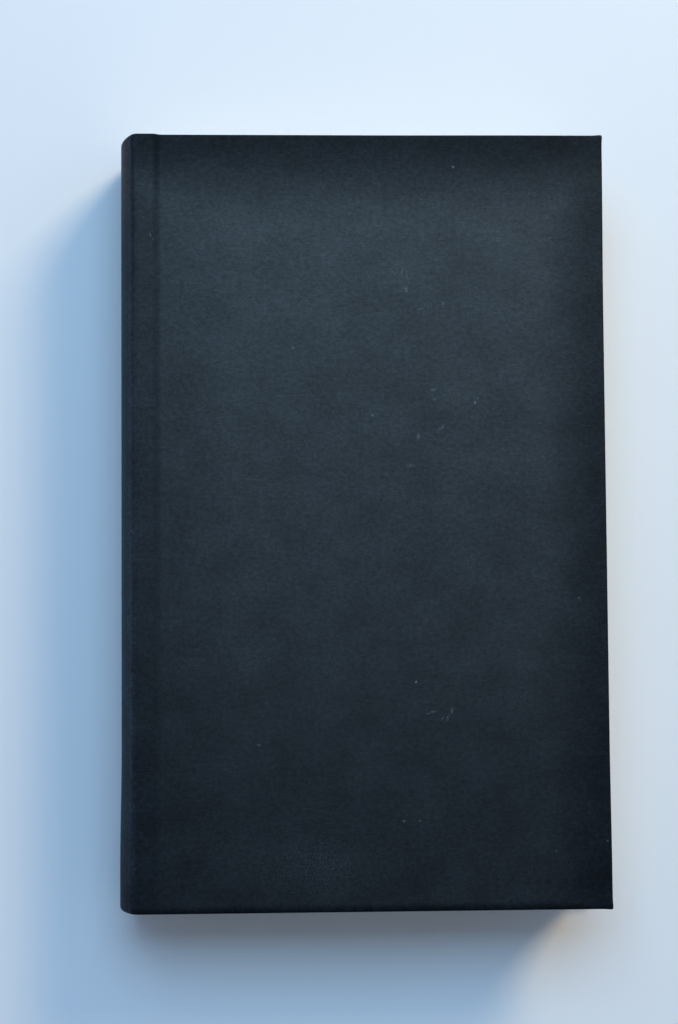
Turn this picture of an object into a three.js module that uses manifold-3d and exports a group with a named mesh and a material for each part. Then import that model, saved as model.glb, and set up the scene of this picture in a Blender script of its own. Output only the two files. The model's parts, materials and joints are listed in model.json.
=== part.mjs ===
// A cased hardback book with a rounded spine and French-groove joints, lying closed on its back cover.
//
// Millimetres. +X runs from the spine to the fore edge, +Y from the tail to the head and +Z from the
// back cover to the front cover. The origin is under the middle of the book, on the surface it lies on.
//
// Every section across the book is drawn in X and a height above or below its middle plane, and is
// then extruded along Y. The back cover is the front cover turned over about the X axis, and each
// cover hangs in a group of its own at its hinge, so turning that group about Y opens the cover.

import * as THREE from 'three';
import { mergeVertices } from 'three/addons/utils/BufferGeometryUtils.js';
import Module from 'manifold-3d';

const wasm = await Module();
wasm.setup();

// The leaves, sewn, rounded and backed.
const leafHeight = 216;
const leafWidth = 130.2;
const blockThickness = 25.3;
const backRadius = 34.2;

// The case: two boards, a strip of card in the spine, and the cloth that joins and covers them.
const boardThickness = 2.5;
const spineCardThickness = 1.2;
const clothThickness = 0.35;
const turnIn = 15;
const square = 3;
const coverEdgeRound = 0.5;
const coverCornerRound = 0.8;

// The joint between spine and board. Depths are below the outer face of the cover.
const jointWidth = 6.1;
const hingeDepth = 0.3;
const crestDepth = 0.3;
const grooveDepth = 0.65;
const spineCardEdgeDepth = 1.2;
const grooveFromCover = 1.5;
const ridgeFromCover = 4;
const lipWidth = 0.2;

// The papers and the linings.
const paperThickness = 0.2;
const pastedownMargin = 3.5;
const mullThickness = 0.25;
const mullFlapWidth = 25;
const mullClearance = 1;
const liningThickness = 0.2;
const liningShortfall = 1;
const hollowBack = 0.2;

// The head and tail bands: a cord worked over with thread, on a tape glued to the spine.
const bandCordRadius = 0.8;
const bandCordProud = 0.15;
const bandTapeHeight = 12;

// A film of glue lies between glued pieces, and loose leaves keep the same distance.
const film = 0.05;

// Fineness of the curves.
const backSteps = 28;
const curveSteps = 6;
const bandSteps = 12;
const ringSteps = 168;

// Heights above the middle plane, out from the leaves to the face of the cover.
const blockTop = blockThickness / 2;
const flyleafTop = blockTop + film + paperThickness;
const pastedownTop = flyleafTop + film + paperThickness;
const turnInLow = pastedownTop + film;
const boardLow = turnInLow + clothThickness + film;
const boardTop = boardLow + boardThickness;
const coverTop = boardTop + film + clothThickness;
const bookThickness = 2 * coverTop;

// The cloth beside the hinge lies low enough to fold back over the crest of the spine, and the
// shoulders of the leaves rise to the doubled cloth and the papers under it.
const valleyTop = coverTop - 2 * hingeDepth + crestDepth - 2 * film;
const jointPaperTop = valleyTop - 2 * clothThickness - film;
const shoulderTop = jointPaperTop - 2 * (paperThickness + film) - film;

// Radii of the spine, out from the backs of the leaves.
const mullRadius = backRadius + film;
const liningRadius = mullRadius + mullThickness + film;
const foldRadius = liningRadius + liningThickness + hollowBack;
const cardRadius = foldRadius + clothThickness + film;
const clothRadius = cardRadius + spineCardThickness + film + clothThickness;

// Places along X. The book is centred on its whole width.
const backSagitta = backRadius - arcReach(backRadius, shoulderTop);
const bookWidth = square + leafWidth + backSagitta + clothRadius - backRadius;
const foreEdge = bookWidth / 2;
const leafForeEdge = foreEdge - square;
const backCentre = clothRadius - bookWidth / 2;
const hinge = backCentre - arcReach(backRadius, shoulderTop);
const coverSpineEdge = hinge + jointWidth;

// Places along Y.
const leafHead = leafHeight / 2;
const coverHead = leafHead + square;
const mullHead = Math.min(leafHead - bandTapeHeight, coverHead - turnIn) - mullClearance;

const cloth = new THREE.MeshStandardMaterial({ color: 0x2b3740, roughness: 0.85, metalness: 0 });
const greyboard = new THREE.MeshStandardMaterial({ color: 0x8c8579, roughness: 0.95, metalness: 0 });
const leaves = new THREE.MeshStandardMaterial({ color: 0xe9e1cf, roughness: 0.9, metalness: 0 });
const endpaper = new THREE.MeshStandardMaterial({ color: 0xf0ebdf, roughness: 0.9, metalness: 0 });
const openMull = new THREE.MeshStandardMaterial({ color: 0xd9d2bd, roughness: 0.95, metalness: 0 });
const kraft = new THREE.MeshStandardMaterial({ color: 0xb09468, roughness: 0.9, metalness: 0 });
const band = new THREE.MeshStandardMaterial({ color: 0xdcd7c8, roughness: 0.8, metalness: 0 });

// How far an arc of this radius lies from its centre at a height above the centre.
function arcReach(radius, height) {
  return Math.sqrt(radius * radius - height * height);
}

// Points on an arc bulging towards -X, from a low height to a high one.
function bulge(centre, radius, low, high) {
  const first = Math.asin(low / radius);
  const last = Math.asin(high / radius);
  const points = [];
  for (let i = 0; i <= backSteps; i += 1) {
    const angle = THREE.MathUtils.lerp(first, last, i / backSteps);
    points.push(new THREE.Vector2(centre - radius * Math.cos(angle), radius * Math.sin(angle)));
  }
  return points;
}

// The same line on the other side of the middle plane, run the other way.
function mirrored(line) {
  return line.map((point) => new THREE.Vector2(point.x, -point.y)).reverse();
}

// A level double bend from one point to another.
function doubleBend(from, to) {
  const halfway = (from.x + to.x) / 2;
  const curve = new THREE.CubicBezierCurve(
    from,
    new THREE.Vector2(halfway, from.y),
    new THREE.Vector2(halfway, to.y),
    to,
  );
  return curve.getPoints(2 * curveSteps);
}

// A line moved square to itself, to its right-hand side.
function setOff(line, distance) {
  return line.map((point, i) => {
    const before = line[Math.max(i - 1, 0)];
    const after = line[Math.min(i + 1, line.length - 1)];
    const along = after.clone().sub(before).normalize();
    return new THREE.Vector2(point.x + along.y * distance, point.y - along.x * distance);
  });
}

// The section of a sheet: the line that its outer face follows, and its inner face on the right of it.
function sheetShape(line, thickness) {
  return new THREE.Shape([...line, ...setOff(line, thickness).reverse()]);
}

// A section extruded along the book's height, between two places along Y.
function alongBook(shape, low, high) {
  const geometry = new THREE.ExtrudeGeometry(shape, { depth: high - low, bevelEnabled: false });
  geometry.rotateX(Math.PI / 2);
  geometry.translate(0, high, 0);
  return geometry;
}

// The same section at both ends of the book, from its head and tail in to a distance.
function atBothEnds(shape, depth) {
  return [
    alongBook(shape, coverHead - depth, coverHead),
    alongBook(shape, -coverHead, depth - coverHead),
  ];
}

function box(xLow, xHigh, yLow, yHigh, zLow, zHigh) {
  const geometry = new THREE.BoxGeometry(xHigh - xLow, yHigh - yLow, zHigh - zLow);
  geometry.translate((xLow + xHigh) / 2, (yLow + yHigh) / 2, (zLow + zHigh) / 2);
  return geometry;
}

function toSolid(geometry) {
  const bare = geometry.clone();
  bare.deleteAttribute('normal');
  bare.deleteAttribute('uv');
  const merged = mergeVertices(bare);
  return new wasm.Manifold(
    new wasm.Mesh({
      numProp: 3,
      vertProperties: new Float32Array(merged.attributes.position.array),
      triVerts: new Uint32Array(merged.index.array),
    }),
  );
}

// One piece joined from several and then cut by others.
function joined(pieces, cuts = []) {
  let solid = toSolid(pieces[0]);
  for (const piece of pieces.slice(1)) {
    solid = solid.add(toSolid(piece));
  }
  for (const cut of cuts) {
    solid = solid.subtract(toSolid(cut));
  }
  return toGeometry(solid);
}

function toGeometry(solid) {
  const { vertProperties, triVerts } = solid.getMesh();
  const geometry = new THREE.BufferGeometry();
  geometry.setAttribute('position', new THREE.BufferAttribute(vertProperties, 3));
  geometry.setIndex(new THREE.BufferAttribute(triVerts, 1));
  geometry.computeVertexNormals();
  return geometry;
}

function named(name, geometry, material) {
  const mesh = new THREE.Mesh(geometry, material);
  mesh.name = name;
  return mesh;
}

// The flare of the outer leaves, from the tip of the shoulder down to the flat of the block.
function shoulderLine(lift) {
  const curve = new THREE.QuadraticBezierCurve(
    new THREE.Vector2(hinge, shoulderTop + lift),
    new THREE.Vector2(hinge + jointWidth / 2, blockTop + lift + (shoulderTop - blockTop) / 4),
    new THREE.Vector2(coverSpineEdge, blockTop + lift),
  );
  return curve.getPoints(2 * curveSteps);
}

// The leaves: rounded at the back, flared into shoulders, and hollow at the fore edge by as much.
function textBlock() {
  const back = bulge(backCentre, backRadius, -shoulderTop, shoulderTop);
  const flare = shoulderLine(0).slice(1);
  const foreRadius = (blockTop * blockTop + backSagitta * backSagitta) / (2 * backSagitta);
  const foreCentre = leafForeEdge + arcReach(foreRadius, blockTop);
  const fore = bulge(foreCentre, foreRadius, -blockTop, blockTop).reverse();
  const outline = [...back, ...flare, ...fore, ...mirrored(flare)];
  return alongBook(new THREE.Shape(outline), -leafHead, leafHead);
}

// The free half of an endpaper, lying on the leaves and folded at the shoulder.
function flyleaf() {
  const line = shoulderLine(film + paperThickness);
  line.push(new THREE.Vector2(leafForeEdge, flyleafTop));
  return alongBook(sheetShape(line, paperThickness), -leafHead, leafHead);
}

// A lining glued round the backs of the leaves, from its inner radius out.
function spineLayer(innerRadius, thickness, end) {
  const line = bulge(backCentre, innerRadius + thickness, -blockTop, blockTop);
  return alongBook(sheetShape(line, thickness), -end, end);
}

// The strip of card that stiffens the spine of the case.
function spineCard() {
  const reach = coverTop - spineCardEdgeDepth;
  const line = bulge(backCentre, cardRadius + spineCardThickness, -reach, reach);
  const end = coverHead - clothThickness - film;
  return alongBook(sheetShape(line, spineCardThickness), -end, end);
}

// The outer face of the spine's cloth: round the back, over the crests at the edges of the card and
// down to the lips beside the two hinges.
function spineClothLine() {
  const reach = coverTop - spineCardEdgeDepth;
  const crest = coverTop - crestDepth;
  const lip = new THREE.Vector2(hinge - film - lipWidth, valleyTop);
  const backTip = new THREE.Vector2(backCentre - arcReach(clothRadius, reach), reach);
  const corner = new THREE.Vector2(backCentre - arcReach(clothRadius, crest), crest);
  const crestTip = new THREE.Vector2((corner.x + lip.x) / 2, crest);
  const over = new THREE.QuadraticBezierCurve(backTip, corner, crestTip).getPoints(curveSteps);
  const down = doubleBend(crestTip, lip);
  const front = [...over.slice(1), ...down.slice(1), new THREE.Vector2(hinge - film, valleyTop)];
  return [...mirrored(front), ...bulge(backCentre, clothRadius, -reach, reach), ...front];
}

// The cloth over the spine, closed over the ends of the card and turned in behind it.
function spineCloth() {
  const line = spineClothLine();
  const reach = coverTop - spineCardEdgeDepth;
  const fold = bulge(backCentre, foldRadius + clothThickness, -reach, reach);
  const foldInner = setOff(fold, clothThickness);
  const cap = new THREE.Shape([...line, ...foldInner.reverse()]);
  return joined([
    alongBook(sheetShape(line, clothThickness), -coverHead, coverHead),
    ...atBothEnds(cap, clothThickness),
    ...atBothEnds(sheetShape(fold, clothThickness), turnIn),
  ]);
}

// A band at the head: its section is turned about the centre line of the back, then cut to length.
function headBand() {
  const tapeRadius = mullRadius + mullThickness;
  const cordCentre = tapeRadius + bandCordProud - bandCordRadius;
  const cordHeight = leafHead + film + bandCordRadius;
  const first = Math.acos((tapeRadius - cordCentre) / bandCordRadius);
  const last = 2 * Math.PI - Math.acos((mullRadius - cordCentre) / bandCordRadius);
  const profile = [
    new THREE.Vector2(mullRadius, leafHead - bandTapeHeight),
    new THREE.Vector2(tapeRadius, leafHead - bandTapeHeight),
  ];
  for (let i = 0; i <= bandSteps; i += 1) {
    const angle = THREE.MathUtils.lerp(first, last, i / bandSteps);
    const x = cordCentre + bandCordRadius * Math.cos(angle);
    profile.push(new THREE.Vector2(x, cordHeight + bandCordRadius * Math.sin(angle)));
  }
  profile.push(profile[0].clone());
  const ring = new THREE.LatheGeometry(profile, ringSteps);
  ring.translate(backCentre, 0, 0);
  const stretch = box(
    backCentre - 2 * clothRadius,
    backCentre,
    0,
    leafHeight,
    -blockTop,
    blockTop,
  );
  return toGeometry(toSolid(ring).intersect(toSolid(stretch)));
}

// The outer face of the joint's cloth, from the hinge over the ridge and into the groove.
function jointLine() {
  const ridge = new THREE.Vector2(coverSpineEdge - ridgeFromCover, valleyTop);
  const groove = new THREE.Vector2(coverSpineEdge - grooveFromCover, coverTop - grooveDepth);
  return [new THREE.Vector2(hinge + film, valleyTop), ...doubleBend(ridge, groove)];
}

// The cover's outer form: a slab with its edges and its two fore-edge corners rounded.
function coverSlab() {
  const left = coverSpineEdge + coverEdgeRound;
  const right = foreEdge - coverEdgeRound;
  const head = coverHead - coverEdgeRound;
  const round = coverCornerRound - coverEdgeRound;
  const face = new THREE.Shape();
  face.moveTo(left, -head);
  face.lineTo(right - round, -head);
  face.absarc(right - round, round - head, round, -Math.PI / 2, 0);
  face.lineTo(right, head - round);
  face.absarc(right - round, head - round, round, 0, Math.PI / 2);
  face.lineTo(left, head);
  const slab = new THREE.ExtrudeGeometry(face, {
    depth: coverTop - turnInLow - 2 * coverEdgeRound,
    bevelThickness: coverEdgeRound,
    bevelSize: coverEdgeRound,
    bevelSegments: 4,
    curveSegments: curveSteps,
  });
  slab.translate(0, 0, turnInLow + coverEdgeRound);
  return slab;
}

// The board's own space in the cover, with a margin all round.
function boardBox(margin) {
  const inset = clothThickness + film - margin;
  return box(
    coverSpineEdge + inset,
    foreEdge - inset,
    inset - coverHead,
    coverHead - inset,
    boardLow - margin,
    boardTop + margin,
  );
}

// The cloth of one cover: folded round the board on three sides and pressed into the joint on the
// fourth. It is turned in at the head, the tail and the fore edge.
function coverCloth() {
  const wall = coverSpineEdge + clothThickness;
  const climb = new THREE.QuadraticBezierCurve(
    new THREE.Vector2(coverSpineEdge - grooveFromCover, coverTop - grooveDepth),
    new THREE.Vector2(coverSpineEdge, coverTop - grooveDepth),
    new THREE.Vector2(wall - clothThickness / 2, (valleyTop + coverTop - grooveDepth) / 2),
  );
  const line = [...jointLine(), ...climb.getPoints(curveSteps).slice(1)];
  const bareHead = coverHead - turnIn;
  const bareBoard = box(hinge, foreEdge - turnIn, -bareHead, bareHead, 0, boardLow - film);
  const wallTop = coverTop - grooveDepth - clothThickness;
  const bareEdge = box(coverSpineEdge - film, wall + film, -bareHead, bareHead, 0, wallTop);
  return joined(
    [
      coverSlab(),
      alongBook(sheetShape(line, clothThickness), -coverHead, coverHead),
      ...atBothEnds(sheetShape(line, 2 * clothThickness), turnIn),
    ],
    [boardBox(film), bareBoard, bareEdge],
  );
}

// One wing of the mull: under the joint's cloth, down the edge of the board and on to its inner face.
function mullFlap() {
  const line = setOff(jointLine(), clothThickness + film);
  const underGroove = line.at(-1).y;
  line.push(new THREE.Vector2(coverSpineEdge, underGroove));
  line.push(new THREE.Vector2(coverSpineEdge + clothThickness, underGroove - clothThickness));
  line.push(new THREE.Vector2(coverSpineEdge + clothThickness, boardLow - film));
  line.push(new THREE.Vector2(coverSpineEdge + mullFlapWidth, boardLow - film));
  return alongBook(sheetShape(line, mullThickness), -mullHead, mullHead);
}

// The half of an endpaper that is pasted to the joint and over the board and its turn-ins.
function pastedown() {
  const line = setOff(jointLine(), valleyTop - jointPaperTop);
  line.push(new THREE.Vector2(coverSpineEdge, pastedownTop));
  line.push(new THREE.Vector2(foreEdge - pastedownMargin, pastedownTop));
  return alongBook(sheetShape(line, paperThickness), -leafHead, leafHead);
}

// One cover, with all that turns with it, in a group whose own place is on the hinge.
function cover(side, pastedownName) {
  const pivot = new THREE.Group();
  pivot.position.set(hinge, 0, coverTop - hingeDepth);
  const pieces = [
    named(`${side}_board`, boardBox(0), greyboard),
    named(`${side}_cloth`, coverCloth(), cloth),
    named(`${side}_mull_flap`, mullFlap(), openMull),
    named(pastedownName, pastedown(), endpaper),
  ];
  for (const piece of pieces) {
    piece.position.copy(pivot.position).negate();
    pivot.add(piece);
  }
  return pivot;
}

const book = new THREE.Group();
book.position.z = bookThickness / 2;
book.add(named('text_block', textBlock(), leaves));
book.add(named('spine_mull', spineLayer(mullRadius, mullThickness, mullHead), openMull));
const liningHead = leafHead - liningShortfall;
book.add(named('spine_lining', spineLayer(liningRadius, liningThickness, liningHead), kraft));
book.add(named('spine_card', spineCard(), greyboard));
book.add(named('spine_cloth', spineCloth(), cloth));
book.add(named('head_band', headBand(), band));
book.add(named('front_flyleaf', flyleaf(), endpaper));
book.add(cover('front', 'front_pastedown'));

// The same pieces turned over: the tail's band, the rear flyleaf and the back cover.
const turned = new THREE.Group();
turned.rotation.x = Math.PI;
turned.add(named('tail_band', headBand(), band));
turned.add(named('rear_flyleaf', flyleaf(), endpaper));
turned.add(cover('back', 'rear_pastedown'));
book.add(turned);

export default book;
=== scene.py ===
"""A cased hardback book with a rounded spine, lying closed on its back cover.

Metres. +X runs from the spine to the fore edge, +Y from the tail to the head and +Z from the back
cover to the front cover. The back half of the book is its front half turned over, so heights are
given above the middle plane, and what is made twice is made for a side: 1 is the front of the book
and -1 is its back.
"""

import json
import math

import bmesh
import bpy
import numpy as np
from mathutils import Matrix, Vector


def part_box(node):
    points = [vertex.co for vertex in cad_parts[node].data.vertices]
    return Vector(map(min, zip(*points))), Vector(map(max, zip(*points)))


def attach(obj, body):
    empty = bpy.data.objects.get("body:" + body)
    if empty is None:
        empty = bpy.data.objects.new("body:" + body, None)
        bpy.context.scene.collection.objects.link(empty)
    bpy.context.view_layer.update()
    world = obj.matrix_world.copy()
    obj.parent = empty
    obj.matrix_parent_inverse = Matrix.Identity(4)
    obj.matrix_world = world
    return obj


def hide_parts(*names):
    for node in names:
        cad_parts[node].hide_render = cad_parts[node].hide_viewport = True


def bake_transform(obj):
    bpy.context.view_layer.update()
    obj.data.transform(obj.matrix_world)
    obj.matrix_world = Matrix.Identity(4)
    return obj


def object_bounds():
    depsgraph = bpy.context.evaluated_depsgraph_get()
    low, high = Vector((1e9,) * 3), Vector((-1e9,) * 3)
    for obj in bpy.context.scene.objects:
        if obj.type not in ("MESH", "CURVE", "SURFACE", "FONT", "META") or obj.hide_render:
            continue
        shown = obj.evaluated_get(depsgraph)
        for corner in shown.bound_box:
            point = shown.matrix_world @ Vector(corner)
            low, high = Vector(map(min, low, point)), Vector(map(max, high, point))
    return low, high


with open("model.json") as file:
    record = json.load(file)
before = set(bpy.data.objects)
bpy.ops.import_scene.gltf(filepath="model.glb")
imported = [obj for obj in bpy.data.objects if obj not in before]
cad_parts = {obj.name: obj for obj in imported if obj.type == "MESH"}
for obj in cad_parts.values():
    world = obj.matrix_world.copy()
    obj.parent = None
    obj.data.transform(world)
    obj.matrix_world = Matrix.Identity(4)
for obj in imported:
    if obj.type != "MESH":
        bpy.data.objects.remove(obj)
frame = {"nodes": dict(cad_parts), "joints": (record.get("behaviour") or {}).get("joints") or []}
cad_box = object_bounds()

# ------------------------------------------------------------------------------------------------
# The leaves: sections of cream book paper, folded, sewn and glued at their backs, then rounded and
# pressed out into two shoulders. The head, the tail and the fore edge are cut plain, so they show
# as hundreds of fine lines.

MM = 0.001
book_low, book_high = cad_box
middle = book_high.z / 2
leaves_low, leaves_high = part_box("text_block")
hinge_x, _, hinge_z = frame["joints"][0]["pos_m"]

# The block in section. Its fore edge is hollow by as much as its back is round.
joint_width = 6.1 * MM
board_edge = hinge_x + joint_width
block_top = 12.65 * MM
shoulder_top = leaves_high.z - middle
back_radius = 34.2 * MM
back_centre = leaves_low.x + back_radius
fore_hollow = back_radius - math.sqrt(back_radius**2 - shoulder_top**2)
fore_radius = (block_top**2 + fore_hollow**2) / (2 * fore_hollow)
fore_centre = leaves_high.x + math.sqrt(fore_radius**2 - block_top**2)
shoulder_steps = 16
back_steps = 14
face_steps = 24
fore_steps = 25

# The leaves lie in bundles a little in or out of the cut, in millimetres, and are slightly wavy. The
# backs of the sections are round, with a groove between one and the next.
sections = 22
bundles_per_section = 4
bundles = bundles_per_section * sections
bundle_faces = (0.03, 0.97)
bundle_play = (-0.05, 0.02)
section_groove = 0.25 * MM
cut_wander = 0.03 * MM
leaf_wave = 0.04 * MM

paper_shade = (0.5, 0.42, 0.29)
paper_light = (0.8, 0.735, 0.6)


def bezier(*corners, steps):
    """Points along a Bezier curve without its first one, so that curves can follow one another."""
    order = len(corners) - 1
    t = np.linspace(0, 1, steps + 1)[1:, None]
    return sum(
        math.comb(order, k) * t**k * (1 - t) ** (order - k) * np.array(corner, float)
        for k, corner in enumerate(corners)
    )


def travelled(line):
    """How far along a line of points each of them lies."""
    return np.concatenate([[0], np.cumsum(np.linalg.norm(np.diff(line, axis=0), axis=1))])


def piece(name, points, flat, faces, smooth=True):
    """A mesh piece from its points, the flat place of each in metres, and its faces."""
    data = bpy.data.meshes.new(name)
    data.from_pydata([tuple(p) for p in points], [], faces)
    sheet = data.uv_layers.new(name="flat_sheet")
    for loop in data.loops:
        sheet.data[loop.index].uv = flat[loop.vertex_index]
    if smooth:
        data.shade_smooth()
    else:
        data.shade_flat()
    made = bpy.data.objects.new(name, data)
    bpy.context.scene.collection.objects.link(made)
    return made


def shoulder_line():
    """The upper face of the leaves, from the tip of the shoulder to the flat, as X and height."""
    bend = ((hinge_x + board_edge) / 2, block_top + (shoulder_top - block_top) / 4)
    tip = (hinge_x, shoulder_top)
    return np.vstack([tip, bezier(tip, bend, (board_edge, block_top), steps=shoulder_steps)])


def level_of_leaves(t, play, setback, flare):
    """The points round one level of the leaves: along the head, down the fore edge and back along
    the tail. The level t is -1 under the back cover and 1 under the front cover."""
    play_head, play_tail, play_fore = play
    inside = 1 - t**4
    back_x = back_centre - math.sqrt(back_radius**2 - (t * shoulder_top) ** 2) + setback
    fore_x = fore_centre - math.sqrt(fore_radius**2 - (t * block_top) ** 2) + play_fore
    near_back = np.linspace(back_x, board_edge, back_steps + 1)[:-1]
    x = np.concatenate([near_back, np.linspace(board_edge, fore_x, face_steps)])
    height = t * np.interp(x, flare[:, 0], flare[:, 1])
    height += leaf_wave * np.sin(x / (9 * MM) + 5 * t) * inside
    wander = cut_wander * np.sin(x / (6 * MM) + 9 * t)
    head = np.stack([x, leaves_high.y + play_head + wander - cut_wander, height], 1)
    tail = np.stack([x, -leaves_high.y - play_tail - wander + cut_wander, height], 1)
    y = np.linspace(head[-1, 1], tail[-1, 1], fore_steps + 1)[1:-1]
    fore_height = height[-1] + cut_wander * np.sin(y / (11 * MM) + 4 * t) * inside
    fore = np.stack([np.full_like(y, fore_x), y, fore_height], 1)
    return np.vstack([head, fore, tail[::-1]])


def leaves():
    """Two levels for each bundle, joined up the sides and closed by a face below and above."""
    random = np.random.default_rng(5)
    levels, plays, setbacks = [], [], []
    for bundle in range(bundles):
        play = random.uniform(*bundle_play, 3) * MM
        for share in bundle_faces:
            levels.append(2 * (bundle + share) / bundles - 1)
            plays.append(play)
            across_section = 2 * ((bundle + share) / bundles_per_section % 1) - 1
            setbacks.append(section_groove * across_section**4)
    levels[0], levels[-1] = -1, 1
    flare = shoulder_line()
    points, flat = [], []
    for t, play, setback in zip(levels, plays, setbacks):
        ring = level_of_leaves(t, play, setback, flare)
        along = travelled(ring[:, :2])
        points.append(ring)
        flat.append(np.stack([along, np.full_like(along, t * block_top)], 1))
    around = len(points[0])
    points, flat = np.vstack(points), np.vstack(flat)
    points[:, 2] += middle
    faces = []
    for row in range(len(levels) - 1):
        k = np.arange(row * around, (row + 1) * around)
        after = np.roll(k, -1)
        faces += zip(after, k, k + around, after + around)
    across = back_steps + face_steps
    for first, up in ((0, False), ((len(levels) - 1) * around, True)):
        for i in range(across - 2):
            face = (first + i, first + around - 1 - i, first + around - 2 - i, first + i + 1)
            faces.append(face if up else face[::-1])
        fore_side = tuple(range(first + across - 2, first + around - across + 2))
        faces.append(fore_side[::-1] if up else fore_side)
    return piece("leaves", points, flat, [tuple(map(int, f)) for f in faces], smooth=False)


def material(name, roughness):
    made = bpy.data.materials.new(name)
    made.use_nodes = True
    shader = made.node_tree.nodes["Principled BSDF"]
    shader.inputs["Roughness"].default_value = roughness
    return made, made.node_tree, shader


def node(tree, kind, inputs, output=0, **settings):
    """Adds a shader node, with numbers or other nodes' outputs on its inputs, and gives an output."""
    made = tree.nodes.new("ShaderNode" + kind)
    for key, value in settings.items():
        setattr(made, key, value)
    for key, value in inputs.items():
        if isinstance(value, bpy.types.NodeSocket):
            tree.links.new(value, made.inputs[key])
        else:
            made.inputs[key].default_value = value
    return made.outputs[output]


def maths(tree, operation, first, second=0.0, third=0.0):
    return node(tree, "Math", {0: first, 1: second, 2: third}, operation=operation)


def weighed(tree, *parts):
    """The sum of several values, each times its weight."""
    total = 0.0
    for value, weight in parts:
        total = maths(tree, "MULTIPLY_ADD", value, weight, total)
    return total


def ranged(tree, value, low, high, to_low, to_high, kind="LINEAR"):
    places = {"From Min": low, "From Max": high, "To Min": to_low, "To Max": to_high}
    return node(tree, "MapRange", {"Value": value, **places}, interpolation_type=kind)


def flat_place(tree):
    """The place on the flat sheet, for the pieces made here."""
    return node(tree, "UVMap", {}, uv_map="flat_sheet")


def mottle(tree, place, across, along, through=1, detail=2.0, rough=0.5):
    """Noise whose features are about so many millimetres long in X, Y and Z."""
    scale = [1 / (size * MM) for size in (across, along, through)]
    scaled = node(tree, "VectorMath", {0: place, 1: scale}, operation="MULTIPLY")
    return node(tree, "TexNoise", {"Vector": scaled, "Scale": 1, "Detail": detail, "Roughness": rough})


def blended(tree, share, first, second):
    """One colour going over to another by a share. Either may be another node's output."""
    colours = [c if isinstance(c, bpy.types.NodeSocket) else (*c, 1) for c in (first, second)]
    return node(tree, "Mix", {0: share, 6: colours[0], 7: colours[1]}, 2, data_type="RGBA")


def painted(tree, shader, colour, relief, depth):
    """Sets the shader's colour and its relief, with a depth in millimetres."""
    tree.links.new(colour, shader.inputs["Base Color"])
    bump = node(tree, "Bump", {"Height": relief, "Distance": depth * MM, "Strength": 0.7})
    tree.links.new(bump, shader.inputs["Normal"])


book_paper, tree, shader = material("book_paper", 0.85)
place = flat_place(tree)
leaf_lines = mottle(tree, place, 60, 0.13, detail=1)
bundle_lines = mottle(tree, place, 90, 0.9, detail=2)
handled = mottle(tree, place, 40, 9, detail=3)
tone = weighed(tree, (leaf_lines, 0.55), (bundle_lines, 0.3), (handled, 0.15))
share = ranged(tree, tone, 0.36, 0.62, 0, 1)
painted(tree, shader, blended(tree, share, paper_shade, paper_light), leaf_lines, 0.1)

text_block = leaves()
text_block.data.materials.append(book_paper)
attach(text_block, "book_block")
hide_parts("text_block")

# ------------------------------------------------------------------------------------------------
# The linings of the spine: a strip of mull, a stiff open gauze, glued round the sewn backs with a
# wing left over on each side for the boards, and a strip of brown kraft paper over it.

thread_pitches = (0.95 * MM, 1.15 * MM)
thread_stray = 0.9 * MM
thread_shade = (0.56, 0.5, 0.38)
thread_light = (0.78, 0.73, 0.62)
glue_shade = (0.34, 0.25, 0.13)
glue_light = (0.46, 0.36, 0.21)
kraft_shade = (0.3, 0.19, 0.095)
kraft_light = (0.46, 0.32, 0.18)


def solid_place(tree):
    """The place in the book, for the solids of the frame."""
    return node(tree, "TexCoord", {}, "Object")


def split(tree, place):
    """The X, Y and Z of a place."""
    return tuple(node(tree, "SeparateXYZ", {0: place}).node.outputs)


def dress(name, finish):
    """Gives a solid of the frame its finish."""
    for slot in frame["nodes"][name].material_slots:
        slot.material = finish


gauze, tree, shader = material("starched_mull", 0.9)
place = solid_place(tree)
x, y, z = split(tree, place)
threads = []
for across, pitch in zip((y, maths(tree, "ADD", x, z)), thread_pitches):
    stray = maths(tree, "MULTIPLY", mottle(tree, place, 5, 5, 5), thread_stray)
    turns = maths(tree, "MULTIPLY", maths(tree, "ADD", across, stray), 2 * math.pi / pitch)
    threads.append(ranged(tree, maths(tree, "SINE", turns), 0.25, 0.8, 0, 1, "SMOOTHSTEP"))
covered = maths(tree, "MAXIMUM", *threads)
fuzz = ranged(tree, mottle(tree, place, 0.25, 0.25, 0.25, detail=3), 0.3, 0.7, 0, 1)
thread = blended(tree, fuzz, thread_shade, thread_light)
glue = blended(tree, fuzz, glue_shade, glue_light)
painted(tree, shader, blended(tree, covered, glue, thread), covered, 0.12)

kraft, tree, shader = material("kraft_paper", 0.85)
place = solid_place(tree)
fibres = mottle(tree, place, 0.6, 3.5, 0.6, detail=4, rough=0.6)
patches = mottle(tree, place, 9, 14, 9, detail=3)
share = ranged(tree, weighed(tree, (fibres, 0.7), (patches, 0.3)), 0.38, 0.62, 0, 1)
painted(tree, shader, blended(tree, share, kraft_shade, kraft_light), fibres, 0.05)

for name in ("spine_mull", "front_mull_flap", "back_mull_flap"):
    dress(name, gauze)
dress("spine_lining", kraft)

# ------------------------------------------------------------------------------------------------
# The head and tail bands: a cotton cord wound closely with thread, on a tape that is glued to the
# backs of the leaves, so that the cord sits on the cut edge at each end of the spine.

cord_radius = 0.78 * MM
cord_centre = 33.85 * MM
cord_height = leaves_high.y + 0.85 * MM
tape_inner = 34.25 * MM
tape_outer = 34.48 * MM
tape_foot = leaves_high.y - 12 * MM
band_top = block_top - 0.1 * MM
thread_pitch = 0.52 * MM
thread_depth = 0.07 * MM
thread_lean = 0.35
points_per_thread = 8
points_round_cord = 22

cotton_shade = (0.5, 0.47, 0.4)
cotton_light = (0.78, 0.75, 0.67)


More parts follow.
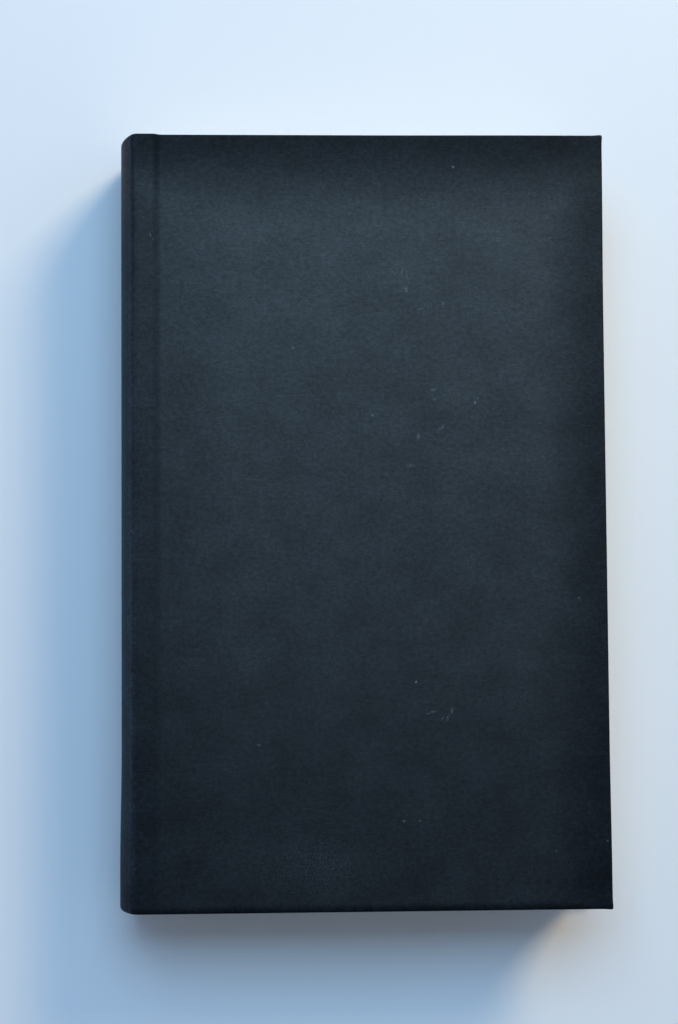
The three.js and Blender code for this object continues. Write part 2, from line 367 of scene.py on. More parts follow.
def worked_band(name, end):
    """A band whose section of tape and cord follows the round of the back. End is 1 at the head of
    the book and -1 at its tail."""
    half_turn = math.asin(band_top / cord_centre)
    threads = round(2 * half_turn * cord_centre / thread_pitch)
    turns = np.linspace(-half_turn, half_turn, points_per_thread * threads + 1)
    leaves_tape = math.acos((tape_outer - cord_centre) / cord_radius)
    meets_tape = 2 * math.pi - math.acos((tape_inner - cord_centre) / cord_radius)
    bends = np.linspace(leaves_tape, meets_tape, points_round_cord)
    points, flat = [], []
    for turn in turns:
        for bend in bends:
            lay = math.pi * threads * (turn / half_turn + 1) / 2 + thread_lean * bend
            radius = cord_radius - thread_depth * (1 - abs(math.sin(lay)))
            out = cord_centre + radius * math.cos(bend)
            if bend == bends[0]:
                out = tape_outer
            elif bend == bends[-1]:
                out = tape_inner
            points.append((out, cord_height + radius * math.sin(bend), turn))
            flat.append((turn * cord_centre, bend * cord_radius))
        for out in (tape_inner, tape_outer):
            points.append((out, tape_foot, turn))
            flat.append((turn * cord_centre, tape_foot))
    places = [
        (back_centre - out * math.cos(turn), end * up, middle + out * math.sin(turn))
        for out, up, turn in points
    ]
    around = points_round_cord + 2
    faces = []
    for k in range(len(turns) - 1):
        for j in range(around):
            first, after = k * around + j, k * around + (j + 1) % around
            faces.append((first, after, after + around, first + around)[::-end])
    faces.append(tuple(range(around))[::end])
    faces.append(tuple(range(len(places) - around, len(places)))[::-end])
    return piece(name, places, flat, faces)


cotton, tree, shader = material("cotton_thread", 0.75)
shader.inputs["Sheen Weight"].default_value = 0.2
place = flat_place(tree)
strands = mottle(tree, place, 0.12, 1.2, detail=3)
soiled = mottle(tree, place, 3, 3, detail=2)
share = ranged(tree, weighed(tree, (strands, 0.6), (soiled, 0.4)), 0.35, 0.65, 0, 1)
painted(tree, shader, blended(tree, share, cotton_shade, cotton_light), strands, 0.04)

head_and_tail = [("worked_head_band", 1, "head_band"), ("worked_tail_band", -1, "tail_band")]
for name, end, node_name in head_and_tail:
    worked = worked_band(name, end)
    worked.data.materials.append(cotton)
    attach(worked, "book_block")
    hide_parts(node_name)

# ------------------------------------------------------------------------------------------------
# The boards of the covers and the card of the spine: grey board of pulped paper. The card is bent
# to the round of the back, and its ends are rubbed round under the cloth.

card_inner = 35.42 * MM
card_outer = 36.5 * MM
card_end = book_high.y - 0.75 * MM
card_height = middle - 1.6 * MM
rubbed_length = 1.4 * MM
rubbed_radius = 1.3 * MM
card_steps = 48

# Distances in from each end at which the card has a row of points, in millimetres.
CARD_ROWS = (0, 0.15, 0.4, 0.8, 1.4, 2.4, 5, 20)

board_shade = (0.22, 0.2, 0.175)
board_light = (0.36, 0.335, 0.3)
fleck_colour = (0.12, 0.105, 0.09)


def bent_card():
    """The card: rows round the back, the outer ones first, each closed over the inner face."""
    inset = np.array(CARD_ROWS) * MM
    y = np.concatenate([inset - card_end, [0], (card_end - inset)[::-1]])
    rubbed = np.clip(rubbed_length - np.minimum(card_end - y, card_end + y), 0, None)
    outer = card_outer - rubbed**2 / (2 * rubbed_radius)
    radii = np.concatenate([outer, np.full(len(y), card_inner)])
    places = np.concatenate([y, y[::-1]])
    half_turn = math.asin(card_height / card_outer)
    turns = np.linspace(-half_turn, half_turn, card_steps + 1)
    points, flat = [], []
    for turn in turns:
        for out, along in zip(radii, places):
            points.append((back_centre - out * math.cos(turn), along, middle + out * math.sin(turn)))
            flat.append((turn * out, along))
    rows = len(places)
    faces = []
    for k in range(card_steps):
        for j in range(rows):
            first, after = k * rows + j, k * rows + (j + 1) % rows
            faces.append((first, first + rows, after + rows, after))
    faces.append(tuple(range(rows)))
    faces.append(tuple(range(len(points) - rows, len(points)))[::-1])
    return piece("spine_stiffener", points, flat, faces, smooth=False)


greyboard, tree, shader = material("greyboard", 0.92)
place = solid_place(tree)
pulp = mottle(tree, place, 0.7, 0.7, 0.3, detail=5, rough=0.65)
layers = mottle(tree, place, 30, 30, 0.25, detail=1)
flecks = ranged(tree, mottle(tree, place, 0.5, 0.9, 0.5, detail=1), 0.66, 0.72, 0, 1)
share = ranged(tree, weighed(tree, (pulp, 0.7), (layers, 0.3)), 0.35, 0.65, 0, 1)
board_colour = blended(tree, share, board_shade, board_light)
painted(tree, shader, blended(tree, flecks, board_colour, fleck_colour), pulp, 0.06)
dress("front_board", greyboard)
dress("back_board", greyboard)

card = bent_card()
card.data.materials.append(greyboard)
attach(card, "book_block")
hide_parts("spine_card")

# ------------------------------------------------------------------------------------------------
# The covering cloth: one sheet of dark paper-backed book cloth, glued over the two boards and the card
# of the spine, pressed into the joints, and turned in at the head, the tail and both fore edges. It is
# two pieces here, which meet along the middle of the spine.

cover_low, cover_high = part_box("front_cloth")
cloth_thickness = 0.3 * MM
turn_in_width = 15 * MM

# Heights: the valley beside the hinge, the edge of the spine's round back and the turned-in cloth.
valley = middle - 0.4 * MM
round_reach = middle - 1.7 * MM
turned_in = cover_low.z - middle
doubled_cloth = 0.75 * MM

# Places across the book: the crest of the spine, the low ridge and the groove of the joint, and the
# flat of the board.
spine_radius = 36.95 * MM
spine_centre = book_low.x + spine_radius
fold_radius = spine_radius - 2 * MM
crest_x = hinge_x - 1 * MM
rise_x = board_edge - 2.7 * MM
groove_x = board_edge - 1.5 * MM
face_x = board_edge + 0.1 * MM

# The folds over the edges: their radii, which stay under half the depth of the fold, and how far
# the cloth over the spine stands out past the boards at each end.
edge_round = 0.5 * MM
spine_end_round = 0.95 * MM
share_of_depth = 0.48
limit_x = cover_high.x - edge_round
limit_y = cover_high.y - edge_round
head_proud = 0.36 * MM
tail_proud = 0.02 * MM

# The corners at the fore edge, where the folded cloth is fuller, and squarer than a circle.
corner_round = 0.2 * MM
corner_steps = 4
corner_fullness = 0.15 * MM
corner_reach = 1.3 * MM
corner_squareness = 0.8

# Unevenness and wear.
ripple_height = 0.02 * MM
foot_spread = 0.45 * MM
fore_swelling = 0.1 * MM
corner_swelling = 0.22 * MM
head_swelling = 0.13 * MM

# Points along the cloth, round its folds and back over its turn-ins, and distances in from an edge
# at which they lie closer. The last two rows are in millimetres.
back_arc_steps = 40
crest_steps = 16
valley_steps = 24
groove_steps = 28
face_step = 3 * MM
FOLD_BENDS = np.radians(np.arange(15, 91, 15))
TURN_INS = (0, 0.5, 4, 8, 12, turn_in_width / MM)
CLOSER = (8, 6, 4.5, 3.2, 2.2, 1.5, 1, 0.6, 0.3, 0.2, 0.15, 0.1, 0.05, 0)


def quads(columns, rows):
    """The faces of a grid of points that runs column by column."""
    return [
        (k, k + rows, k + rows + 1, k + 1)
        for i in range(columns - 1)
        for k in range(i * rows, i * rows + rows - 1)
    ]


def spaced(low, high, step, closer=(0,)):
    """Places about a step apart from low to high, and closer ones by distance from the high end."""
    last = high - np.array(closer, float) * MM
    count = max(1, round((last[0] - low) / step))
    return np.concatenate([np.linspace(low, last[0], count + 1)[:-1], last])


def both_ways(places):
    """The same places on both sides of zero."""
    return np.concatenate([-places[::-1], places[1:]])


def ease(value, low, high):
    """0 below low, 1 above high and an even rise between them."""
    t = np.clip((value - low) / (high - low), 0, 1)
    return t * t * (3 - 2 * t)


def across_the_book():
    """The cloth's outer line from the middle of the spine to the fore edge, as X and height, and
    beside it the line of the cloth that is turned in behind it."""
    heights = np.linspace(0, round_reach, back_arc_steps)[:, None]
    shrunk = heights * fold_radius / spine_radius
    outer = [np.hstack([spine_centre - np.sqrt(spine_radius**2 - heights**2), heights])]
    inner = [np.hstack([spine_centre - np.sqrt(fold_radius**2 - shrunk**2), shrunk])]

    # Over the edge of the card to the crest beside the hinge.
    back_tip, inner_tip = outer[0][-1], inner[0][-1]
    over_x = spine_centre - math.sqrt(spine_radius**2 - valley**2)
    under_valley = valley - doubled_cloth
    over = bezier(back_tip, (over_x, valley), (crest_x, valley), steps=crest_steps)
    along = travelled(np.vstack([back_tip, over]))
    share = (along[1:] / along[-1])[:, None]
    outer.append(over)
    inner.append(inner_tip + share * (np.array([crest_x, under_valley]) - inner_tip))

    # Along the valley at the hinge, and up on to the board.
    outer.append(bezier((crest_x, valley), (rise_x, valley), steps=valley_steps))
    inner.append(bezier((crest_x, under_valley), (rise_x, under_valley), steps=valley_steps))
    part = np.linspace(0, 1, groove_steps + 1)[1:, None]
    x = rise_x + part * (face_x - rise_x)
    dropped = np.clip((x - groove_x) / (face_x - groove_x), 0, 1)
    outer.append(np.hstack([x, valley + ease(part, 0, 1) * (middle - valley)]))
    inner.append(np.hstack([x, under_valley + dropped * (turned_in - under_valley)]))
    face = spaced(face_x, limit_x, face_step, CLOSER)[1:, None]
    outer.append(np.hstack([face, np.full_like(face, middle)]))
    inner.append(np.hstack([face, np.full_like(face, turned_in)]))
    return np.vstack(outer), np.vstack(inner)


def thickened(mesh, thickness):
    """Gives a sheet its thickness on its inner side, with a flat rim round it."""
    mesh.normal_update()
    uv = mesh.loops.layers.uv.active
    outside = list(mesh.faces)
    rim = [edge for edge in mesh.edges if edge.is_boundary]
    inner = {v: mesh.verts.new(v.co - v.normal * thickness) for v in list(mesh.verts)}
    for face in outside:
        back = mesh.faces.new([inner[v] for v in reversed(face.verts)])
        back.smooth = True
        for loop, source in zip(back.loops, reversed(face.loops)):
            loop[uv].uv = source[uv].uv
    for edge in rim:
        here = edge.link_loops[0]
        after = here.link_loop_next
        side = mesh.faces.new([after.vert, here.vert, inner[here.vert], inner[after.vert]])
        for loop, source in zip(side.loops, (after, here, here, after)):
            loop[uv].uv = source[uv].uv


def sheet_piece(name, points, flat, faces, thickness, side):
    """A piece made of a sheet: its points as X, Y and height, their places on the flat sheet, and
    its faces seen from outside."""
    mesh = bmesh.new()
    uv = mesh.loops.layers.uv.new("flat_sheet")
    verts = [mesh.verts.new((x, y, middle + side * height)) for x, y, height in points]
    for corners in faces:
        corners = corners[::side]
        face = mesh.faces.new([verts[k] for k in corners])
        face.smooth = True
        for loop, k in zip(face.loops, corners):
            loop[uv].uv = (side * flat[k][0], flat[k][1])
    bmesh.ops.remove_doubles(mesh, verts=mesh.verts, dist=0.001 * MM)
    loose = [v for v in mesh.verts if not v.link_faces]
    bmesh.ops.delete(mesh, geom=loose, context="VERTS")
    thickened(mesh, thickness)
    data = bpy.data.meshes.new(name)
    mesh.to_mesh(data)
    mesh.free()
    sheet = bpy.data.objects.new(name, data)
    bpy.context.scene.collection.objects.link(sheet)
    return sheet


def face_of_cloth(outer, head_end, tail_end):
    """The cloth's face: one column of points for each place across the book, from tail to head. It
    gives the points and their places on the flat sheet."""
    share = both_ways(spaced(0, cover_high.y, face_step, CLOSER) / cover_high.y)
    rows = len(share)
    y = np.where(share > 0, head_end[:, None], tail_end[:, None]) * share
    grid = np.stack([np.repeat(outer[:, :1], rows, 1), y, np.repeat(outer[:, 1:], rows, 1)], 2)
    flat = np.stack([np.repeat(travelled(outer)[:, None], rows, 1), y], 2)

    # Cloth glued over board is never quite flat.
    x = grid[..., 0]
    ripple = np.sin(x / (7 * MM) + 1.3) * np.sin(y / (9 * MM) + 0.4)
    ripple += np.sin(x / (17 * MM) - y / (13 * MM))
    on_board = ease(x, face_x, face_x + 12 * MM)
    off_edge = ease(cover_high.x - x, 2 * MM, 14 * MM)
    off_edge *= ease(cover_high.y - np.abs(y), 2 * MM, 14 * MM)
    grid[..., 2] += ripple_height * ripple * on_board * off_edge
    return grid, flat


def round_corners(grid):
    """Swings the last points of the face round its two corners at the fore edge."""
    p, q = np.meshgrid(np.arange(corner_steps + 1), np.arange(corner_steps + 1), indexing="ij")
    far = np.maximum(p, q)
    part = np.where(p == far, q, 2 * far - p) / np.maximum(far, 1)
    swung = np.stack([np.cos(part * math.pi / 4), np.sin(part * math.pi / 4)], 2)
    centre = np.array([limit_x, limit_y]) - corner_round
    patch = centre + corner_round / corner_steps * far[..., None] * swung
    grid[-corner_steps - 1 :, -corner_steps - 1 :, :2] = patch
    grid[-corner_steps - 1 :, : corner_steps + 1, :2] = patch[:, ::-1] * [1, -1]


def headings(i, j, last, top):
    """The way out from the face at each point of its edge, which swings from one side to the next
    at a corner, and which of the points are at a corner."""
    from_corner = np.maximum(last - i, np.minimum(top - j, j))
    turn = 45 * np.clip(1 - from_corner / corner_steps, 0, 1)
    heading = np.where(i == last, np.where((j == top) | (j == 0), 45, turn), 90 - turn)
    heading = np.radians(np.where(j > top / 2, heading, -heading))
    away = np.stack([np.cos(heading), np.sin(heading)], 1)
    away /= np.abs(away).max(axis=1)[:, None] ** corner_squareness
    return away, from_corner <= corner_steps


def worn(points):
    """Spreads the foot of the spine, where the book has stood on it, and swells the fore edge and
    the head of the cover, most of all at its corners."""
    x, y = points[:, 0].copy(), points[:, 1].copy()
    points[:, 0] -= foot_spread * ease(-y, 65 * MM, 100 * MM) * ease(-x, 63 * MM, 68 * MM)
    swelling = fore_swelling + corner_swelling * ease(np.abs(y), 60 * MM, 104 * MM)
    points[:, 0] += swelling * ease(x, 66 * MM, 69 * MM)
    points[:, 1] += head_swelling * ease(x, 0, 50 * MM) * ease(y, 106 * MM, 110.3 * MM)


def covering_cloth(name, side):
    """Half of the cloth: its face, and rings of points over the edge of the face, down round the
    board or the card, and under them to the end of the turned-in cloth."""
    outer, inner = across_the_book()
    depth = np.linalg.norm(inner - outer, axis=1)
    inward = (inner - outer) / depth[:, None]
    wanted = np.where(outer[:, 0] < hinge_x, spine_end_round, edge_round)
    rounding = np.minimum(wanted, share_of_depth * depth)
    beside_board = ease(face_x - outer[:, 0], 0, 2.5 * MM)
    head_end = cover_high.y - rounding + head_proud * beside_board
    tail_end = cover_high.y - rounding + tail_proud * beside_board
    grid, flat = face_of_cloth(outer, head_end, tail_end)
    round_corners(grid)

    # The edge of the face: along the head, down the fore edge and back along the tail.
    last, rows = len(outer) - 1, grid.shape[1]
    top = rows - 1
    i = np.concatenate([np.arange(last + 1), np.full(rows - 2, last), np.arange(last, -1, -1)])
    j = np.concatenate([np.full(last + 1, top), np.arange(top - 1, 0, -1), np.zeros(last + 1, int)])
    away, at_corner = headings(i, j, last, top)
    on_fore_edge = i == last
    base, base_flat = grid[i, j], flat[i, j]
    on_cover = base[:, 0] > face_x
    sign = np.where(j > top / 2, 1, -1)
    end = np.where(sign > 0, head_end[i], tail_end[i])
    plunge = np.where(on_fore_edge[:, None], [0, -1], inward[i])
    edge_radius, edge_depth = rounding[i], depth[i]
    to_corner = np.hypot(limit_x - base[:, 0], limit_y - corner_round - np.abs(base[:, 1]))
    full_radius = edge_radius + corner_fullness * np.exp(-((to_corner / corner_reach) ** 2))
    rings, ring_flats = [], []

    def ring(out, down, along):
        """A ring so far out from the edge, down into the book and along the cloth."""
        lift = out[:, None] * away
        x = base[:, 0] + lift[:, 0] + down * plunge[:, 0]
        rings.append(np.stack([x, base[:, 1] + lift[:, 1], base[:, 2] + down * plunge[:, 1]], 1))
        ring_flats.append(base_flat + along[:, None] * away)

    for bend in FOLD_BENDS:
        ring(full_radius * math.sin(bend), edge_radius * (1 - math.cos(bend)), edge_radius * bend)
    round_the_edge = edge_radius * math.pi + edge_depth - 2 * edge_radius
    for bend in FOLD_BENDS[::-1]:
        down = edge_depth - edge_radius * (1 - math.cos(bend))
        ring(full_radius * math.sin(bend), down, round_the_edge - edge_radius * bend)
    for back in np.array(TURN_INS) * MM:
        ring(np.zeros(len(i)), edge_depth, round_the_edge + back)
        x, y = rings[-1][:, 0], rings[-1][:, 1]
        mitred_x = np.where(on_fore_edge, limit_x - back, np.minimum(x, limit_x - back))
        y_end = np.where(on_cover, limit_y, end) - back
        free_y = np.where(on_fore_edge & ~at_corner, np.abs(y), y_end)
        rings[-1][:, 0] = np.where(on_cover, mitred_x, x)
        rings[-1][:, 1] = sign * np.minimum(free_y, y_end)

    # Join the points of the face, then its edge to the first ring and each ring to the next.
    points = np.vstack([grid.reshape(-1, 3), *rings])
    flats = np.vstack([flat.reshape(-1, 2), *ring_flats])
    faces = quads(last + 1, rows)
    upper = i * rows + j
    for k in range(len(rings)):
        lower = (last + 1) * rows + len(i) * k + np.arange(len(i))
        faces += zip(upper[:-1], upper[1:], lower[1:], lower[:-1])
        upper = lower
    worn(points)
    faces = [tuple(map(int, f)) for f in faces]
    return sheet_piece(name, points, flats, faces, cloth_thickness, side)


front_case = covering_cloth("front_covering_cloth", 1)
back_case = covering_cloth("back_covering_cloth", -1)

# The dye of the cloth on the covers and on the spine, the pale body of the cloth where it is rubbed,
# and its polish.
dye_blue = (0.0037, 0.0067, 0.0107)
dye_green = (0.0047, 0.0075, 0.0101)
dye_on_spine = (0.0032, 0.0041, 0.0053)
rubbed_cloth = (0.12, 0.155, 0.17)
polish_tint = (1, 0.94, 0.81, 1)
full_polish = 0.485

# Places on the flat sheet, out from the middle of the spine.
cloth_line = across_the_book()[0]
sheet_reach = float(travelled(cloth_line)[-1])
sheet_shift = sheet_reach - cloth_line[-1, 0]
spine_arc = spine_radius * math.asin(round_reach / spine_radius)
face_start = face_x + sheet_shift

bookcloth, tree, shader = material("bookcloth", 0.42)
shader.inputs["Specular Tint"].default_value = polish_tint
place = flat_place(tree)
grain = mottle(tree, place, 1.5, 1.35, detail=3, rough=1)
fibres = mottle(tree, place, 2.6, 0.4)
clouds = mottle(tree, place, 13, 11, detail=4, rough=0.6)
tint = mottle(tree, place, 9, 11)

tone = ranged(tree, grain, 0.25, 0.75, 0.7, 1.3)
tone = maths(tree, "MULTIPLY", tone, ranged(tree, fibres, 0.3, 0.7, 0.95, 1.05))
tone = maths(tree, "MULTIPLY", tone, ranged(tree, clouds, 0.3, 0.7, 0.9, 1.1))

# The cloth is painted darker, with a lower specular level, towards the edges of the boards, most of
# all at the head and right at the tail: this is painted shade. It is darker in the joint and on the
# spine too. Each row is a way across the sheet, where the painted shade begins, where it is deepest,
# and how much of the light is left there.
across_sheet, up_sheet, _ = split(tree, place)
out_from_spine = maths(tree, "ABSOLUTE", across_sheet)
painted_shade_edges = [
    (up_sheet, cover_high.y - 29 * MM, cover_high.y - 1 * MM, 0.24),
    (up_sheet, 3 * MM - cover_high.y, 0.4 * MM - cover_high.y, 0.18),
    (out_from_spine, sheet_reach - 20 * MM, sheet_reach - 1 * MM, 0.47),
    (out_from_spine, face_start + 26 * MM, face_start, 0.8),
    (out_from_spine, face_start, face_start - 3 * MM, 0.61),
    (out_from_spine, spine_arc + 5.4 * MM, spine_arc + 2.4 * MM, 0.5),
    (out_from_spine, spine_arc + 2.6 * MM, spine_arc - 0.4 * MM, 0.06),
]
painted_shade = 1.0
for way, full, least, left in painted_shade_edges:
    painted_shade = maths(tree, "MINIMUM", painted_shade, ranged(tree, way, full, least, 1, left, "SMOOTHSTEP"))
# Painted shade, deepening towards the tail.
painted_tail_shade = ranged(tree, up_sheet, -20 * MM, -100 * MM, 1, 0.74, "SMOOTHSTEP")
painted_shade = maths(tree, "MULTIPLY", painted_shade, painted_tail_shade)

# The spine is painted lighter, as painted light thrown on it from its side, and less so towards its
# ends, which is painted shade.
on_spine = ranged(tree, out_from_spine, spine_arc + 3.2 * MM, spine_arc - 0.8 * MM, 0, 1, "SMOOTHSTEP")
painted_spine_light = ranged(tree, out_from_spine, spine_arc - 6.5 * MM, spine_arc + 0.5 * MM, 3.4, 6.4)
for full, least, left in ((-94 * MM, -107 * MM, 0.5), (62 * MM, 96 * MM, 0.74)):
    painted_end_shade = ranged(tree, up_sheet, full, least, 1, left, "SMOOTHSTEP")
    painted_spine_light = maths(tree, "MULTIPLY", painted_spine_light, painted_end_shade)
# The lightness of the colour: painted shade on the covers and painted light on the spine.
tone_and_painted_light = node(tree, "Mix", {0: on_spine, 2: ranged(tree, painted_shade, 0, 1, 0.55, 1), 3: painted_spine_light})
dye = blended(tree, ranged(tree, tint, 0.35, 0.65, 0, 1), dye_blue, dye_green)
dye = blended(tree, on_spine, dye, dye_on_spine)
tone_and_painted_light = maths(tree, "MULTIPLY", maths(tree, "POWER", tone, 3), tone_and_painted_light)
# The dye, made lighter or darker by the random tone and by the painted light and shade.
dye_and_painted_light = node(tree, "VectorMath", {0: dye, "Scale": tone_and_painted_light}, operation="SCALE")

# Rubs, nicks and specks on the front cover and its joint, and a broad faint rub near the tail: X, Y,
# length and width in millimetres, the way they run in degrees, and how pale they are. The short ones
# are whole, and the rest are broken up by the weave.
MARKS = [
    (26.7, 101.7, 1.0, 0.7, 0, 0.9),
    (11.6, 71.0, 4.5, 0.4, 80, 0.6),
    (13.2, 69.5, 4.6, 0.6, 98, 0.55),
    (12.6, 66.5, 2.5, 1.6, 90, 0.55),
    (12.9, 65.6, 0.8, 0.6, 0, 0.7),
    (17.0, 60.4, 2.4, 0.9, 20, 0.4),
    (23.4, 62.0, 1.1, 0.8, 90, 0.6),
    (-19.8, 49.2, 1.0, 0.7, 0, 0.8),
    (20.3, 37.0, 2.2, 1.3, 40, 0.5),
    (20.6, 34.2, 1.2, 0.7, 0, 0.4),
    (32.3, 33.3, 1.3, 0.6, 75, 1.0),
    (33.0, 34.5, 1.0, 0.5, 20, 0.45),
    (2.7, 29.8, 2.0, 1.5, 0, 0.4),
    (15.9, 23.7, 1.3, 2.2, 0, 0.45),
    (18.4, 24.4, 1.8, 1.3, 0, 0.4),
    (22.6, 26.2, 3.6, 1.6, 35, 0.3),
    (13.7, 15.2, 4.0, 1.4, 10, 0.3),
    (-22.0, 35.4, 12.0, 0.5, 1, 0.22),
    (14.6, -46.4, 1.0, 0.8, 30, 1.1),
    (19.0, -55.0, 5.0, 1.0, 15, 0.28),
    (24.6, -54.6, 3.2, 1.1, 78, 0.5),
    (23.6, -56.4, 3.4, 1.0, 65, 0.4),
    (22.0, -57.0, 2.6, 1.2, 60, 0.3),
    (-30.1, -63.8, 2.0, 1.0, 0, 0.35),
    (10.8, -85.6, 1.1, 0.7, 0, 0.7),
    (15.3, -85.6, 1.0, 0.6, 0, 0.5),
    (61.5, -22.8, 1.0, 0.7, 0, 0.5),
    (54.5, 81.1, 0.9, 0.7, 0, 0.4),
    (-60.6, 81.9, 3.4, 0.8, -60, 0.3),
    (-59.9, 80.9, 2.6, 0.7, -50, 0.25),
    (54.0, -94.4, 0.9, 0.8, 0, 0.36),
    (68.4, -91.8, 0.9, 0.7, 0, 0.4),
    (-13.0, -98.5, 48.0, 25.0, 0, 0.07),
]
longest_nick = 1.3
nicks, scuffs = 0.0, 0.0
for x, y, length, width, runs, strength in MARKS:
    spot = {
        "Vector": place,
        "Location": (x * MM + sheet_shift, y * MM, 0),
        "Rotation": (0, 0, math.radians(runs)),
        "Scale": (length * MM / 2, width * MM / 2, 1),
    }
    here = node(tree, "Mapping", spot, vector_type="TEXTURE")
    here = node(tree, "TexGradient", {"Vector": here}, 1, gradient_type="SPHERICAL")
    if length <= longest_nick:
        nicks = maths(tree, "MULTIPLY_ADD", here, strength, nicks)
    else:
        scuffs = maths(tree, "MULTIPLY_ADD", here, strength, scuffs)
specks = ranged(tree, mottle(tree, place, 0.5, 0.6), 0.5, 0.62, 0, 1.7)
streaks = ranged(tree, mottle(tree, place, 0.4, 2.4), 0.54, 0.64, 0, 1.3)
scuffs = maths(tree, "MULTIPLY", scuffs, maths(tree, "MAXIMUM", specks, streaks))
pale = ranged(tree, maths(tree, "ADD", nicks, scuffs), 0, 1, 0, 1)

# The specular level carries the same painted shade.
gloss = maths(tree, "MULTIPLY", maths(tree, "MULTIPLY", painted_shade, tone), full_polish)
tree.links.new(gloss, shader.inputs["Specular IOR Level"])
tree.links.new(ranged(tree, grain, 0.3, 0.7, 0.46, 0.41), shader.inputs["Roughness"])
weave = maths(tree, "MULTIPLY_ADD", fibres, 0.3, grain)
# The colour holds the dye, the rubs, and the painted light and shade.
painted(tree, shader, blended(tree, pale, dye_and_painted_light, rubbed_cloth), weave, 0.055)

for case in (front_case, back_case):
    case.data.materials.append(bookcloth)
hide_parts("spine_cloth", "front_cloth")
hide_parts("back_cloth")
fold_half_width = 1.3 * MM
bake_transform(front_case)
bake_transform(back_case)

# ------------------------------------------------------------------------------------------------
# The endpapers: at each end of the book a folded sheet of plain white paper. One half is pasted to
# the joint, the board and its turn-ins, which stand out through it, and the other half is loose.

pastedown_low, pastedown_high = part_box("front_pastedown")
pasted = pastedown_low.z - middle
pasted_thickness = 0.17 * MM
paper_under_joint = 0.2 * MM
mull_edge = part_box("front_mull_flap")[1].x
mull_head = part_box("front_mull_flap")[1].y
turn_in_edge = cover_high.x - turn_in_width
turn_in_head = cover_high.y - turn_in_width
sunk_on_mull = 0.12 * MM
sunk_past_mull = 0.22 * MM

# Points along the paper, how far apart they lie over the board in X and Y, the distances beside an
# edge under the paper at which they lie closer, and the least distance from the paper's own edge,
# all but the first two in millimetres.
joint_steps = 24
knee_steps = 6
paper_step_x = 3
paper_step_y = 4
BESIDE = np.array([-1.4, -0.9, -0.4, 0.1, 0.6, 1.1, 1.6])
clear_of_edge = 0.3

endpaper_shade = (0.68, 0.645, 0.56)
endpaper_light = (0.8, 0.775, 0.7)


def beside_edges(low, high, step, under):
    """Places a step in millimetres apart from low to high, closer beside the edges under the paper."""
    places = [np.arange(low / MM, high / MM, step), *(edge / MM + BESIDE for edge in under)]
    places = np.concatenate(places)
    places = np.unique(np.round(places[places < high / MM - clear_of_edge], 2))
    return np.append(places, high / MM) * MM


def pastedown(name, side):
    """The pasted half of an endpaper, from the hinge over the joint and the board."""
    x = np.linspace(hinge_x - fold_half_width, groove_x, joint_steps + 1)
    line = np.stack([x, np.full_like(x, valley - doubled_cloth - paper_under_joint)], 1)
    knee = (groove_x + 0.6 * MM, pasted), (board_edge, pasted)
    line = np.vstack([line, bezier(line[-1], *knee, steps=knee_steps)])
    under_x = (mull_edge, turn_in_edge)
    face = beside_edges(board_edge + 3 * MM, pastedown_high.x, paper_step_x, under_x)
    line = np.vstack([line, np.stack([face, np.full_like(face, pasted)], 1)])
    under_y = (mull_head, turn_in_head)
    y = both_ways(beside_edges(0, pastedown_high.y, paper_step_y, under_y))
    grid = np.stack(np.broadcast_arrays(line[:, :1], y[None, :], line[:, 1:]), 2).copy()
    flat = np.stack(np.broadcast_arrays(travelled(line)[:, None], y[None, :]), 2)

    # Inside the turn-ins the paper sinks on to the mull, and past the mull on to the bare board.
    x, up_or_down = grid[..., 0], np.abs(grid[..., 1])
    inside = ease(x, board_edge + 1 * MM, board_edge + 3 * MM)
    inside = inside * ease(turn_in_edge - x, -0.5 * MM, 0.8 * MM)
    inside = inside * ease(turn_in_head - up_or_down, -0.5 * MM, 0.8 * MM)
    past_mull = ease(x, mull_edge - 0.2 * MM, mull_edge + 1 * MM)
    grid[..., 2] += inside * (sunk_on_mull + sunk_past_mull * past_mull)
    faces = [face[::-1] for face in quads(len(line), len(y))]
    return sheet_piece(name, grid.reshape(-1, 3), flat.reshape(-1, 2), faces, pasted_thickness, side)


def endpaper(name, place_in):
    finish, tree, shader = material(name, 0.8)
    place = place_in(tree)
    formation = mottle(tree, place, 2.4, 2.4, 2.4, detail=5, rough=0.6)
    aged = mottle(tree, place, 45, 60, 45, detail=3)
    share = ranged(tree, weighed(tree, (formation, 0.5), (aged, 0.5)), 0.36, 0.64, 0, 1)
    painted(tree, shader, blended(tree, share, endpaper_shade, endpaper_light), formation, 0.02)
    return finish


pasted_paper = endpaper("endpaper", flat_place)
loose_paper = endpaper("loose_endpaper", solid_place)
dress("front_flyleaf", loose_paper)
dress("rear_flyleaf", loose_paper)

both_ends = [
    ("front_pasted_endpaper", 1, "front_pastedown", "front_cover"),
    ("rear_pasted_endpaper", -1, "rear_pastedown", "back_cover"),
]
for name, side, node_name, cover in both_ends:
    pasted_down = pastedown(name, side)
    pasted_down.data.materials.append(pasted_paper)
    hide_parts(node_name)
    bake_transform(pasted_down)

# ------------------------------------------------------------------------------------------------
# The stage: a plain pale table in a room with windows beyond the head of the book. One window is
# low and warm and the other opens on the sky. The walls are lighter on that side, and the ceiling
# is dim. The camera is nearly straight above the book.

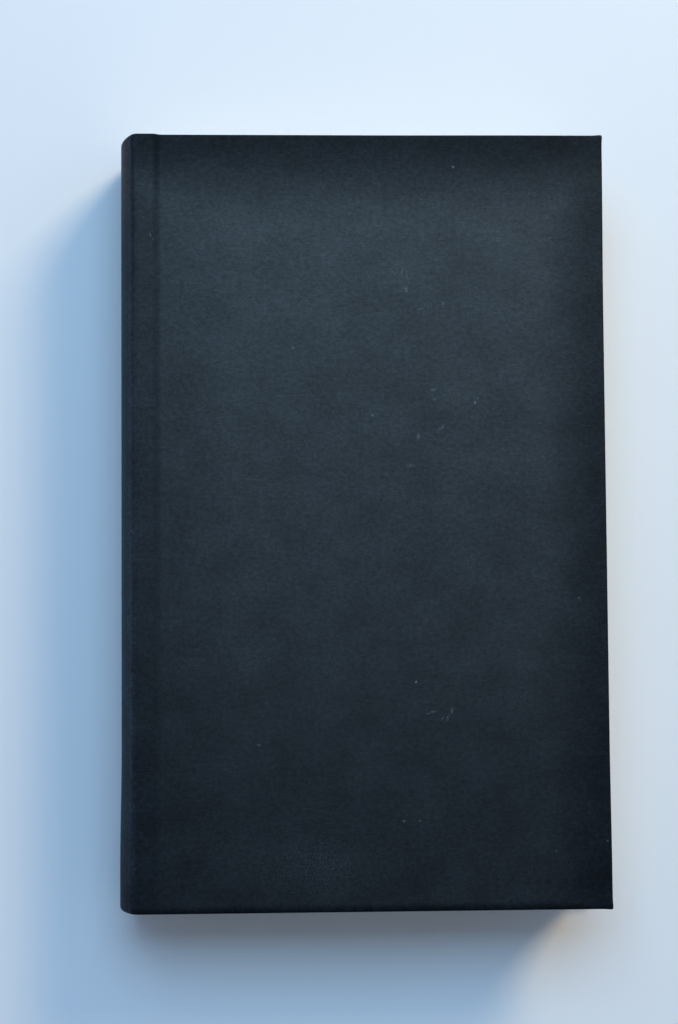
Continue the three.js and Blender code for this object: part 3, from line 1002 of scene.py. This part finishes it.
table_colour = (0.85, 0.83, 0.78, 1)
lamp_aim = Vector((0, 0, 0))
near_walls = (0.165, 0.195, 0.24)
window_walls = (0.3, 0.45, 0.8)
ceiling = (0.055, 0.07, 0.1)
camera_place = (-0.0343, -0.0371, 0.6495)
camera_tilt = (3.65, -2.51, -0.41)

table, tree, shader = material("table", 0.55)
shader.inputs["Base Color"].default_value = table_colour
bpy.ops.mesh.primitive_plane_add(size=6)
floor = bpy.context.object
floor.name = "table_top"
floor.data.materials.append(table)


def softbox(name, place, size, power, colour):
    """A rectangular lamp that faces the book."""
    lamp = bpy.data.lights.new(name, "AREA")
    lamp.shape = "RECTANGLE"
    lamp.size, lamp.size_y = size
    lamp.energy = power
    lamp.color = colour
    holder = bpy.data.objects.new(name, lamp)
    bpy.context.scene.collection.objects.link(holder)
    holder.location = place
    holder.rotation_euler = (Vector(place) - lamp_aim).to_track_quat("Z", "Y").to_euler()


softbox("low_window", (0.81, 1.08, 0.84), (0.5, 0.5), power=16.5, colour=(0.96, 0.8, 0.52))
softbox("open_sky", (-0.05, 0.8, 1.5), (1.3, 0.95), power=19.3, colour=(0.34, 0.61, 0.93))

world = bpy.data.worlds.new("room")
bpy.context.scene.world = world
world.use_nodes = True
tree = world.node_tree
background = tree.nodes["Background"]
background.inputs["Strength"].default_value = 1
_, to_windows, upward = split(tree, node(tree, "TexCoord", {}, "Generated"))
walls = ranged(tree, to_windows, -0.6, 0.6, 0, 1, "SMOOTHSTEP")
walls = blended(tree, walls, near_walls, window_walls)
overhead = ranged(tree, upward, 0.8, 1, 0, 1, "SMOOTHSTEP")
tree.links.new(blended(tree, overhead, walls, ceiling), background.inputs["Color"])

eye = bpy.data.cameras.new("camera")
eye.lens = 50
eye.sensor_width = 23.6
camera = bpy.data.objects.new("camera", eye)
bpy.context.scene.collection.objects.link(camera)
camera.location = camera_place
camera.rotation_euler = [math.radians(angle) for angle in camera_tilt]
bpy.context.scene.camera = camera
bpy.context.scene.view_settings.view_transform = "Standard"
